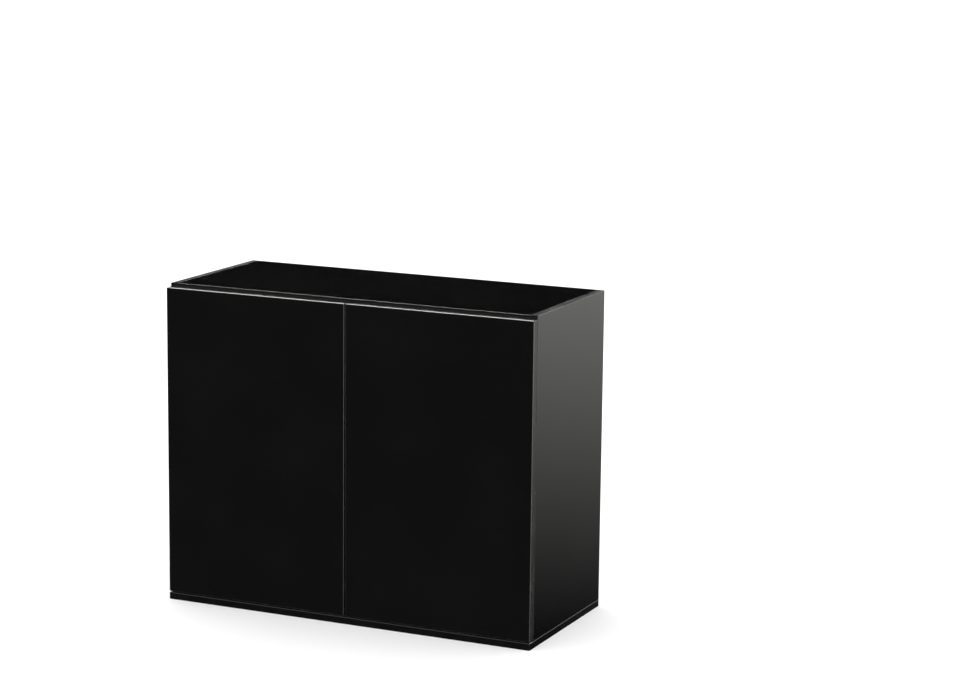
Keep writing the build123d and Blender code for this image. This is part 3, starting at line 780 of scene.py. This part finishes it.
def cross_recess(radii: np.ndarray, columns: int, reach: float, half: float, depth: float) -> np.ndarray:
    """Depth of a driver's cross.

    In words: at a point whose larger distance from the two centre lines is the way along a wing and
    whose smaller one is the way off it, the depth falls as the square root of what is left of the
    reach, and drops to nothing across the wing's edge, within a third of its half width.

    Args:
        radii: Radius of each row.
        columns: Number of steps round.
        reach: Length of a wing from the centre.
        half: Half a wing's width.
        depth: Depth at the centre.

    Returns:
        The depth, rows by columns.
    """
    angle = np.linspace(0.0, 2.0 * math.pi, columns, endpoint=False)
    across = np.abs(radii[:, None] * np.cos(angle)), np.abs(radii[:, None] * np.sin(angle))
    along, off = np.maximum(*across), np.minimum(*across)
    inside = np.clip((half - off) / (half / 3.0) + 0.5, 0.0, 1.0)
    return depth * np.sqrt(np.clip(1.0 - along / reach, 0.0, 1.0)) * inside


def eased(node: str, width: float, material: bpy.types.Material) -> None:
    """Stand a copy of a CAD node in its place with a narrow rounding along its sharp edges.

    Args:
        node: The node's name.
        width: Width of the rounding.
        material: Its finish.
    """
    mesh = frame["nodes"][node].data.copy()
    work = bmesh.new()
    work.from_mesh(mesh)
    bmesh.ops.remove_doubles(work, verts=work.verts, dist=SAME_PLACE)
    bmesh.ops.dissolve_limit(work, angle_limit=math.radians(FLAT_WITHIN), verts=work.verts, edges=work.edges)
    work.to_mesh(mesh)
    work.free()
    piece = settle(mesh, node + ".eased", EASED_SMOOTH)
    bevel = piece.modifiers.new("eased", "BEVEL")
    bevel.width = width
    bevel.segments = EASE_STEPS
    bevel.limit_method = "ANGLE"
    bevel.angle_limit = math.radians(SHARP_FROM)
    bevel.harden_normals = True
    finish_piece(piece, [node], material)


def dress(nodes: Iterable[str], material: bpy.types.Material) -> None:
    """Give CAD nodes one finish.

    Args:
        nodes: Their names.
        material: The finish.
    """
    for name in nodes:
        slots = frame["nodes"][name].data.materials
        slots.clear()
        slots.append(material)
        log.info("%s is finished in %s", name, material.name)


def on_both(*names: str) -> list[str]:
    """The names of pieces on the left and right halves."""
    return [f"{side.value}_{name}" for side in Side for name in names]


# --- the cabinet's sub-assemblies ---------------------------------------------------------------
@dataclass
class Carcass:
    """Boards, rails, shelves and their edge bands."""

    raw_from: float = CAD_BOX[1].y - SKIN
    half_width: float = CAD_BOX[1].x
    height: float = CAD_BOX[1].z
    out_of_reach: float = 1.0    # put on the raw edge's place, this leaves a board without one

    def build(self) -> None:
        """Finish every board and band."""
        sides = GlossBoard("gloss_side", Axis.X, self.half_width - SKIN, self.raw_from)
        dress(on_both("side_panel"), sides.make())
        dress(["top_panel"], GlossBoard("gloss_top", Axis.Z, self.height - SKIN, self.raw_from).make())
        dress(["base_panel"], PearlBoard("inner_board", self.raw_from).make())
        dress(["centre_partition"], PearlBoard("partition_board", self.raw_from, Axis.X).make())
        rails = PearlBoard("rail_board", self.raw_from + self.out_of_reach)
        dress(on_both("rear_top_rail", "rear_bottom_rail"), rails.make())
        shelf_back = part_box("left_shelf")[1].y - SKIN
        dress(on_both("shelf"), PearlBoard("shelf_board", shelf_back).make())
        dress(["side_edge_bands", "partition_edge_band", "shelf_edge_bands"], EdgeBand("edge_band").make())
        # a fainter painted highlight on the rounded edges of the base and top bands
        polished = EdgeBand("polished_band", scraped_and_highlight=(0.010, 0.010, 0.0098), rough=(0.07, 0.13))
        dress(["base_edge_bands", "top_edge_band"], polished.make())


@dataclass
class Doors:
    """Two door boards with their bands and soft pads."""

    rows: int = 9                # from a pad's top to its rim

    def pads(self, side: Side, material: bpy.types.Material) -> None:
        """Draw a door's pads.

        In words: the pad's top is a quarter ellipse, from its full radius at the door to the axis at
        its full height, kept flatter by taking the square root of the height's sine.

        Args:
            side: Which door.
            material: The pads' rubber.
        """
        node = f"{side.value}_door_bumpers"
        surface = Surface()
        turn = np.linspace(math.pi / 2, 0.0, self.rows)
        for low, high in solids(node):
            radius, thick = (high[0] - low[0]) / 2, high[1] - low[1]
            centre = np.array([(low[0] + high[0]) / 2, low[1], (low[2] + high[2]) / 2])
            radii = np.append(radius * np.cos(turn), 0.0)
            heights = np.append(thick * np.sqrt(np.sin(turn)), 0.0)
            surface.add(lathe(radii, heights), centre, Axis.Y.unit())
        finish_piece(surface.build(f"{side.value}_door_pads"), [node], material)

    def build(self) -> None:
        """Finish both doors."""
        dress(on_both("door"), Lacquer("door_lacquer").make())
        dress(on_both("door_edge_bands"), EdgeBand("door_band").make())
        rubber = Moulded("pad_rubber", (0.42, 0.43, 0.44), (0.33, 0.34, 0.35), (0.25, 0.40)).make()
        for side in Side:
            self.pads(side, rubber)


@dataclass
class Screws:
    """Cross-recessed screws, drawn over the solids of their CAD nodes."""

    columns: int = 48
    rings: int = 18
    rows_per_turn: int = 6
    pitch: float = 1.6 * MM
    thread: float = 0.16         # thread's height as a share of its radius
    recess_reach: float = 0.62   # the cross, as shares of the head's radius
    recess_half: float = 0.12
    recess_depth: float = 0.42
    rim: float = 0.45            # height of the dome's rim, as a share of its middle's
    rim_edge: float = 0.15       # the rim's own thickness, as a share of the cone's depth
    tip: float = 1.2             # length of the point, as a share of the thread's radius
    pan_cone: float = 0.35       # depth of the cone under a pan head, as a share of a sunk head's
    plate_thread: float = 0.55   # threads' diameters as shares of their heads'
    small_thread: float = 0.5
    base_thread: float = 0.6
    flat_dome: float = 0.1 * MM  # rise of a sunk head
    arm_rise: float = 1.6 * MM   # height of an arm screw's head
    latch_rise: float = 1.5 * MM
    arm_from_wall: float = 7.0 * MM  # from the plate's foot; screws further in clamp the arm
    steel: bpy.types.Material | None = None

    def profile(self, head: float, rise: float, sunk: float, shank: float, length: float) -> np.ndarray:
        """Draw one screw about Z with its seat at height 0.

        In words: the head's top is a dome that falls with the square of the radius, less the cross;
        below its rim a cone meets the shank; along the shank the radius is a core plus a triangle wave
        of the angle less the height over the pitch; a straight taper closes the point.

        Args:
            head: The head's radius.
            rise: Height of the head's top above the seat.
            sunk: Depth of the head below the seat.
            shank: The thread's outer radius.
            length: From the seat to the point.

        Returns:
            The grid of points.
        """
        inner = head * np.linspace(0.0, 1.0, self.rings)
        dome = rise * (self.rim + (1.0 - self.rim) * (1.0 - (inner / head) ** 2))[:, None]
        cross = cross_recess(inner, self.columns, self.recess_reach * head, self.recess_half * head,
                             self.recess_depth * head)
        top = lathe(inner, dome - cross, self.columns)
        core = shank * (1.0 - self.thread)
        under = lathe(np.array([head, core]), np.array([-self.rim_edge * sunk, -sunk]), self.columns)
        run = length - sunk - self.tip * shank
        count = max(2, int(self.rows_per_turn * run / self.pitch))
        heights = -sunk - run * np.linspace(0.0, 1.0, count)[:, None] * np.ones(self.columns)
        angle = np.arange(self.columns)[None, :] / self.columns
        wave = np.abs(2.0 * ((angle - heights / self.pitch) % 1.0) - 1.0)
        body = lathe(core + (shank - core) * wave, heights, self.columns)
        point = lathe(np.array([core, 0.0]), np.array([-sunk - run, -length]), self.columns)
        return np.concatenate((top, under, body, point))

    def draw(self, name: str, node: str, thread_share: float,
             facing: Callable[[np.ndarray, np.ndarray], tuple[np.ndarray, float]]) -> None:
        """Draw every screw of a node.

        Args:
            name: The new piece's name.
            node: The CAD node.
            thread_share: The thread's diameter as a share of the head's.
            facing: From a screw's lowest and highest corner, the way its head faces and how far the
                head stands above its seat.
        """
        surface = Surface()
        for low, high in solids(node):
            way, rise = facing(low, high)
            head, length, top = stand(low, high, way)
            cone = (1.0 - thread_share) * head * (self.pan_cone if rise else 1.0)
            grid = self.profile(head, max(rise, self.flat_dome), cone, thread_share * head, length - rise)
            surface.add(grid, top - way * rise, way)
        finish_piece(surface.build(name), [node], self.steel)

    def side(self, side: Side) -> None:
        """Draw the screws of one door's hinges and strike plate.

        Args:
            side: Which door.
        """
        inwards = Axis.X.unit(1.0 if side is Side.LEFT else -1.0)
        low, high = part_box(f"{side.value}_hinge_plates")
        arm_line = max(abs(low.x), abs(high.x)) - self.arm_from_wall

        def on_plate(low: np.ndarray, high: np.ndarray) -> tuple[np.ndarray, float]:
            """A screw nearer the middle than the arm's line clamps the arm and has a pan head."""
            clamps = abs(low[0] + high[0]) / 2 < arm_line
            return inwards, self.arm_rise if clamps else 0.0

        self.draw(f"{side.value}_plate_screws", f"{side.value}_hinge_plate_screws", self.plate_thread,
                  on_plate)
        for name, node in (("cup_screws", "hinge_cup_screws"), ("strike_plate_screws", "strike_screws")):
            self.draw(f"{side.value}_{name}", f"{side.value}_{node}", self.small_thread,
                      lambda low, high: (Axis.Y.unit(), 0.0))

    def build(self) -> None:
        """Draw the screws of hinges, strike plates, latches and base."""
        self.steel = Metal("screw_steel", (0.62, 0.62, 0.60), (0.42, 0.42, 0.41), (0.22, 0.38)).make()
        for side in Side:
            self.side(side)
        self.draw("latch_housing_screws", "latch_screws", self.small_thread,
                  lambda low, high: (Axis.X.unit(math.copysign(1.0, low[0] + high[0])), self.latch_rise))
        self.draw("base_board_screws", "base_screws", self.base_thread,
                  lambda low, high: (Axis.Z.unit(-1.0), 0.0))


@dataclass
class Joinery:
    """Dowels, cam bolts, cams, cover caps and shelf pins."""

    columns: int = 48
    cam_rings: int = 20
    cap_rings: int = 16
    face: float = 3.0 * MM       # thickness of a cam's face
    floor: float = 0.5 * MM      # thickness of its rear flange
    core: float = 3.0 * MM       # radius of its core
    rim: float = 0.5 * MM        # bevel of its rim
    cross_reach: float = 0.62    # the cross, as shares of the cam's radius
    cross_half: float = 0.15
    cross_depth: float = 0.8     # as a share of the face's thickness
    cap_fall: float = 0.7        # drop of a cap's dome at its rim, as a share of its height
    pin_ease: float = 0.2 * MM

    def outward(self, low: np.ndarray, high: np.ndarray) -> np.ndarray:
        """Find the way that a cam's or a cap's face points.

        Args:
            low: Its lowest corner.
            high: Its highest corner.

        Returns:
            Backwards in a rail, down in the top board, and to the right in the partition.
        """
        if high[1] > CAD_BOX[1].y - SKIN:
            return Axis.Y.unit()
        if high[2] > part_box("top_panel")[0].z - SKIN:
            return Axis.Z.unit(-1.0)
        return Axis.X.unit()

    def cams(self, material: bpy.types.Material) -> None:
        """Draw the cams.

        In words: a turned spool of face, core and rear flange, whose face has a cross recess and a
        bevelled rim.

        Args:
            material: The cast zinc.
        """
        surface = Surface()
        for low, high in solids("cam_discs"):
            way = self.outward(low, high)
            radius, depth, top = stand(low, high, way)
            rings = (radius - self.rim) * np.linspace(0.0, 1.0, self.cam_rings)
            cross = cross_recess(rings, self.columns, self.cross_reach * radius, self.cross_half * radius,
                                 self.cross_depth * self.face)
            radii = np.array([radius, radius, self.core, self.core, radius, radius, 0.0])
            heights = -np.array([self.rim, self.face, self.face, depth - self.floor, depth - self.floor,
                                 depth, depth])
            spool = np.concatenate((lathe(rings, -cross, self.columns), lathe(radii, heights, self.columns)))
            surface.add(spool, top, way)
        finish_piece(surface.build("cam_spools"), ["cam_discs"], material)

    def caps(self, material: bpy.types.Material) -> None:
        """Draw the cover caps.

        In words: a shallow dome with a rounded rim, whose height falls with the fourth power of the
        radius.

        Args:
            material: The caps' plastic.
        """
        surface = Surface()
        for low, high in solids("cam_cover_caps"):
            way = self.outward(low, high)
            radius, thick, top = stand(low, high, way)
            share = np.linspace(0.0, 1.0, self.cap_rings)
            radii = np.append(radius * share, [radius, 0.0])
            heights = np.append(thick * (1.0 - self.cap_fall * share ** 4), [0.0, 0.0])
            surface.add(lathe(radii, heights, self.columns), top - way * thick, way)
        finish_piece(surface.build("cam_covers"), ["cam_cover_caps"], material)

    def build(self) -> None:
        """Finish the joinery."""
        zinc = Metal("cast_zinc", (0.58, 0.59, 0.61), (0.42, 0.43, 0.45), (0.32, 0.50),
                     Pattern(700.0, 3.0), 0.02 * MM).make()
        self.cams(zinc)
        self.caps(Moulded("cap_plastic", (0.016, 0.016, 0.016), (0.009, 0.009, 0.009)).make())
        dress(["cam_bolts"], zinc)
        dress(["wood_dowels"], Beech("beech_grain").make())
        eased("shelf_pins", self.pin_ease, zinc)


@dataclass
class Hinges:
    """Concealed cup hinges with their pins and mounting plates."""

    ease: float = 0.18 * MM

    def build(self) -> None:
        """Finish the hinges' pressed pieces and pins."""
        nickel = Metal("nickel_plate", (0.68, 0.66, 0.62), (0.50, 0.485, 0.455), (0.14, 0.30)).make()
        pin = Metal("pin_steel", (0.60, 0.60, 0.59), (0.46, 0.46, 0.45), (0.18, 0.30)).make()
        for node in on_both("hinge_cups", "hinge_arms", "hinge_main_links", "hinge_second_links",
                            "hinge_plates"):
            eased(node, self.ease, nickel)
        dress(on_both("hinge_arm_pins", "hinge_cup_pins"), pin)


@dataclass
class Latches:
    """Push-to-open latches with their springs and strike plates."""

    ease: float = 0.5 * MM       # rounding of a housing's edges
    thin: float = 0.2 * MM       # and of the smaller pieces' edges

    def build(self) -> None:
        """Finish the latches."""
        grey = Moulded("latch_plastic", (0.10, 0.102, 0.105), (0.075, 0.077, 0.08)).make()
        nickel = Metal("strike_steel", (0.66, 0.65, 0.62), (0.50, 0.49, 0.465), (0.16, 0.30)).make()
        spring = Metal("spring_wire", (0.50, 0.50, 0.50), (0.36, 0.36, 0.36), (0.20, 0.35)).make()
        magnet = Metal("magnet_plate", (0.55, 0.55, 0.56), (0.40, 0.40, 0.41), (0.20, 0.32),
                       Pattern(500.0, 3.0)).make()
        for side in Side:
            eased(f"{side.value}_latch_housing", self.ease, grey)
            eased(f"{side.value}_latch_plunger", self.thin, grey)
            eased(f"{side.value}_strike_plate", self.thin, nickel)
            eased(f"{side.value}_latch_magnet", self.thin, magnet)
        dress(["latch_springs"], spring)


# --- studio -------------------------------------------------------------------------------------
@dataclass(frozen=True)
class Ramp:
    """A brightness that runs from low to high as one part of a mirror ray's way goes from start to end."""

    axis: Axis
    start: float
    end: float
    low: float = 0.0
    high: float = 1.0
    power: float = 1.0

    def shade(self, graph: Graph, way: dict[Axis, bpy.types.NodeSocket]) -> bpy.types.NodeSocket:
        """Work the ramp out.

        Args:
            graph: The world's graph.
            way: The mirror ray's way along each axis.

        Returns:
            The brightness.
        """
        run = graph.fade(way[self.axis], self.start, self.end, self.low, self.high)
        return run if self.power == 1.0 else graph.math("POWER", run, self.power)


WALL_FOOT = Ramp(Axis.Z, -0.295, -0.165, power=1.5)
WALL_HEAD = Ramp(Axis.Z, 0.05, 0.30, 1.0, 0.15)
SOFTBOXES = {
    "bright wall to the right": (Ramp(Axis.X, 0.60, 0.85, 0.0, 8.0),
                                 Ramp(Axis.Z, -0.275, -0.10, power=1.5), WALL_HEAD),
    "wall to the right": (Ramp(Axis.X, 0.05, 0.40), WALL_FOOT, WALL_HEAD),
    "wall to the left": (Ramp(Axis.X, -0.60, -0.92, 0.0, 1.1), WALL_FOOT, WALL_HEAD),
    "faint fill in front": (Ramp(Axis.Y, -0.2, -0.8, 0.008, 0.085),),
    "wall in front above the floor line": (Ramp(Axis.Y, 0.0, -0.4), Ramp(Axis.Z, -0.06, 0.15, 0.0, 1.2)),
    "narrow canopy overhead to the left": (Ramp(Axis.X, -0.16, -0.28), Ramp(Axis.X, -0.72, -0.55),
                                           Ramp(Axis.Y, -0.08, 0.15), Ramp(Axis.Z, 0.45, 0.75, 0.0, 32.0)),
    "small box high behind to the right": (Ramp(Axis.X, 0.05, 0.14), Ramp(Axis.X, 0.42, 0.32),
                                           Ramp(Axis.Y, 0.6, 0.8), Ramp(Axis.Z, 0.24, 0.34),
                                           Ramp(Axis.Z, 0.62, 0.52, 0.0, 6.0)),
}


@dataclass
class Studio:
    """White room: an even dome, and softboxes that only mirror rays see."""

    eye: Triple = (2.71956, -5.3953, 1.74165)
    yaw: float = 0.4297          # turn to the left of straight back
    pitch: float = 0.1853        # tilt downwards
    roll: float = 0.0114
    lens: float = 101.61
    sensor: float = 36.0
    far: float = 200.0
    dome: float = 1.9
    floor_size: float = 60.0
    floor_pale: Colour = (0.93, 0.93, 0.93)
    floor_palest: Colour = (0.95, 0.95, 0.95)
    floor_clouds: Pattern = Pattern(3.0)
    floor_rough: float = 0.9
    box_tint: Colour = (1.0, 0.995, 0.97)

    def camera(self) -> None:
        """Set the camera by its turn, tilt and roll."""
        data = bpy.data.cameras.new("camera")
        data.sensor_width, data.lens, data.clip_end = self.sensor, self.lens, self.far
        forward = Vector((-math.sin(self.yaw) * math.cos(self.pitch),
                          math.cos(self.yaw) * math.cos(self.pitch), -math.sin(self.pitch)))
        level = Vector((math.cos(self.yaw), math.sin(self.yaw), 0.0))
        upright = level.cross(forward)
        right = math.cos(self.roll) * level + math.sin(self.roll) * upright
        up = math.cos(self.roll) * upright - math.sin(self.roll) * level
        camera = bpy.data.objects.new("camera", data)
        turn = Matrix((right, up, -forward)).transposed().to_4x4()
        camera.matrix_world = Matrix.Translation(self.eye) @ turn
        bpy.context.scene.collection.objects.link(camera)
        bpy.context.scene.camera = camera

    def floor(self) -> None:
        """Lay a wide pale matt floor; mirror rays pass it, so gloss faces see only the softboxes."""
        half = self.floor_size / 2
        mesh = bpy.data.meshes.new("floor")
        mesh.from_pydata([(-half, -half, 0), (half, -half, 0), (half, half, 0), (-half, half, 0)], [],
                         [(0, 1, 2, 3)])
        sweep = bpy.data.objects.new("floor", mesh)
        bpy.context.scene.collection.objects.link(sweep)
        coat = Coat("pale_floor")
        coat.set(Base_Color=coat.mix(coat.noise(self.floor_clouds), self.floor_pale, self.floor_palest),
                 Roughness=self.floor_rough, Specular_IOR_Level=0.0)
        mesh.materials.append(coat.material)
        sweep.visible_glossy = False

    def softboxes(self, graph: Graph) -> bpy.types.NodeSocket:
        """Brightness that a mirror ray meets, by its direction.

        In words: each softbox is the product of its ramps, and the brightness is the sum of the boxes.

        Args:
            graph: The world's graph.

        Returns:
            The brightness.
        """
        way = graph.axes(graph.node("ShaderNodeTexCoord").outputs["Generated"])
        boxes = []
        for name, ramps in SOFTBOXES.items():
            shades = [ramp.shade(graph, way) for ramp in ramps]
            boxes.append(reduce(partial(graph.math, "MULTIPLY"), shades))
            log.info("softbox: %s", name)
        return reduce(partial(graph.math, "ADD"), boxes)

    def world(self) -> None:
        """Light the room with the dome, and show the softboxes to mirror rays."""
        world = bpy.data.worlds.new("studio")
        world.use_nodes = True
        world.cycles.sampling_method = "NONE"
        bpy.context.scene.world = world
        graph = Graph(world.node_tree)
        output = graph.node("ShaderNodeOutputWorld")
        even, boxes = graph.node("ShaderNodeBackground"), graph.node("ShaderNodeBackground")
        even.inputs["Strength"].default_value = self.dome
        graph.feed(boxes.inputs["Color"], self.box_tint)
        graph.link(self.softboxes(graph), boxes.inputs["Strength"])
        mix = graph.node("ShaderNodeMixShader")
        graph.link(graph.node("ShaderNodeLightPath").outputs["Is Glossy Ray"], mix.inputs[0])
        graph.link(even.outputs[0], mix.inputs[1])
        graph.link(boxes.outputs[0], mix.inputs[2])
        graph.link(mix.outputs[0], output.inputs["Surface"])

    def build(self) -> None:
        """Make the camera, the floor and the light."""
        self.camera()
        self.floor()
        self.world()
        bpy.context.scene.view_settings.view_transform = "Standard"
        log.info("the studio is ready")


def main() -> None:
    """Build the studio and the cabinet."""
    logging.basicConfig(level=logging.INFO, format="%(name)s: %(message)s")
    for assembly in (Studio(), Carcass(), Doors(), Screws(), Joinery(), Hinges(), Latches()):
        assembly.build()


if __name__ == "__main__":
    main()
